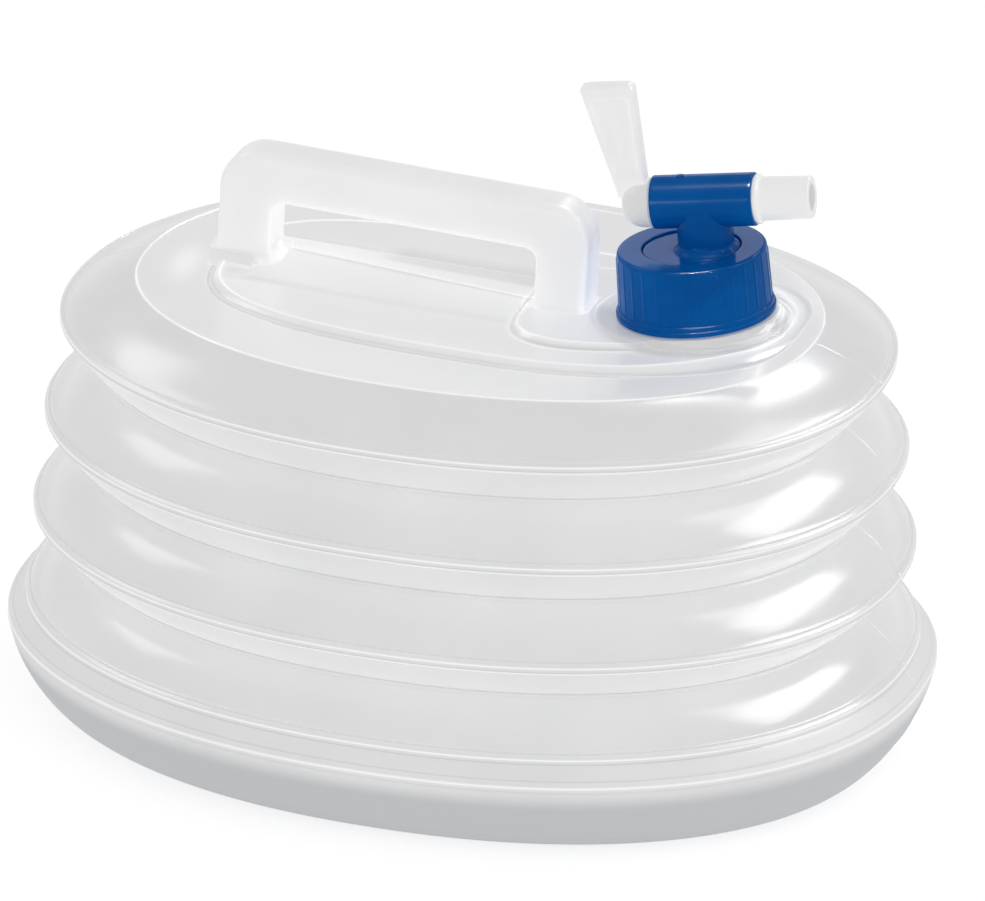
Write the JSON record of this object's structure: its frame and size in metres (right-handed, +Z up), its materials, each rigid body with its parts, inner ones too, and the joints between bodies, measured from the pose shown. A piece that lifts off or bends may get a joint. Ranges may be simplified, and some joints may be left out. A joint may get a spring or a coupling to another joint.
{
  "type": "collapsible water carrier",
  "caption": "Oval bellows water container that folds flat, with a loop carry handle and a screw cap holding a lever tap.",
  "frame": {"origin": "centre of the flat bottom", "axes": "+Z up, +X along the tank's length towards the cap and spout, +Y across it"},
  "size_m": [0.315, 0.2538, 0.2336],
  "materials": {
    "frosted_shell": "frosted translucent polyethylene, soft sheen",
    "milky_handle": "thicker milky polyethylene, soft sheen",
    "pale_gasket": "soft sealing washer",
    "blue_plastic": "glossy moulded plastic",
    "white_plastic": "satin moulded plastic",
    "seal_rubber": "black rubber"
  },
  "bodies": {
    "base": {"base_floor": "frosted_shell", "base_wall": "frosted_shell", "bellows_panel_6": "frosted_shell"},
    "lower_crest": {"crest_ring_lower": "frosted_shell", "bellows_panel_4": "frosted_shell", "bellows_panel_5": "frosted_shell"},
    "upper_crest": {"crest_ring_upper": "frosted_shell", "bellows_panel_2": "frosted_shell", "bellows_panel_3": "frosted_shell"},
    "top": {"shoulder_ring": "frosted_shell", "top_deck": "frosted_shell", "filler_neck": "frosted_shell", "carry_handle": "milky_handle", "bellows_panel_1": "frosted_shell"},
    "gasket": {"cap_gasket": "pale_gasket"},
    "tap": {"tap_body": "blue_plastic"},
    "cap": {"cap_ring": "blue_plastic"},
    "valve": {"tap_plug": "white_plastic", "tap_lever": "white_plastic", "plug_seal_front": "seal_rubber", "plug_seal_rear": "seal_rubber"}
  },
  "joints": [
    {"name": "bellows_collapse", "type": "slide", "parent": "base", "child": "top", "axis": [0, 0, -1], "range_m": [0, 0.073], "deforming": ["bellows_panel_1", "bellows_panel_2", "bellows_panel_3", "bellows_panel_4", "bellows_panel_5", "bellows_panel_6"]},
    {"name": "upper_crest_drop", "type": "slide", "parent": "base", "child": "upper_crest", "axis": [0, 0, -1], "range_m": [0, 0.0481]},
    {"name": "lower_crest_drop", "type": "slide", "parent": "base", "child": "lower_crest", "axis": [0, 0, -1], "range_m": [0, 0.0234]},
    {"name": "cap_lift_off", "type": "slide", "parent": "top", "child": "gasket", "axis": [-0.1045, 0, 0.9945], "range_m": [0, 0.045]},
    {"name": "cap_rise", "type": "slide", "parent": "gasket", "child": "tap", "axis": [-0.1045, 0, 0.9945], "range_m": [0, 0.00801]},
    {"name": "cap_turn", "type": "hinge", "parent": "tap", "child": "cap", "pos_m": [0.0754, 0, 0.15577], "axis": [-0.1045, 0, 0.9945], "range_deg": [0, 720]},
    {"name": "tap_lever_turn", "type": "hinge", "parent": "tap", "child": "valve", "pos_m": [0.07643, 0.00044, 0.19459], "axis": [0.9857, 0.0871, 0.144], "range_deg": [0, 90]}
  ],
  "couplings": [
    {"joint": "upper_crest_drop", "follows": "bellows_collapse", "ratio": 0.658},
    {"joint": "lower_crest_drop", "follows": "bellows_collapse", "ratio": 0.319},
    {"joint": "cap_rise", "follows": "cap_turn", "m_per_rad": 0.00063662}
  ]
}
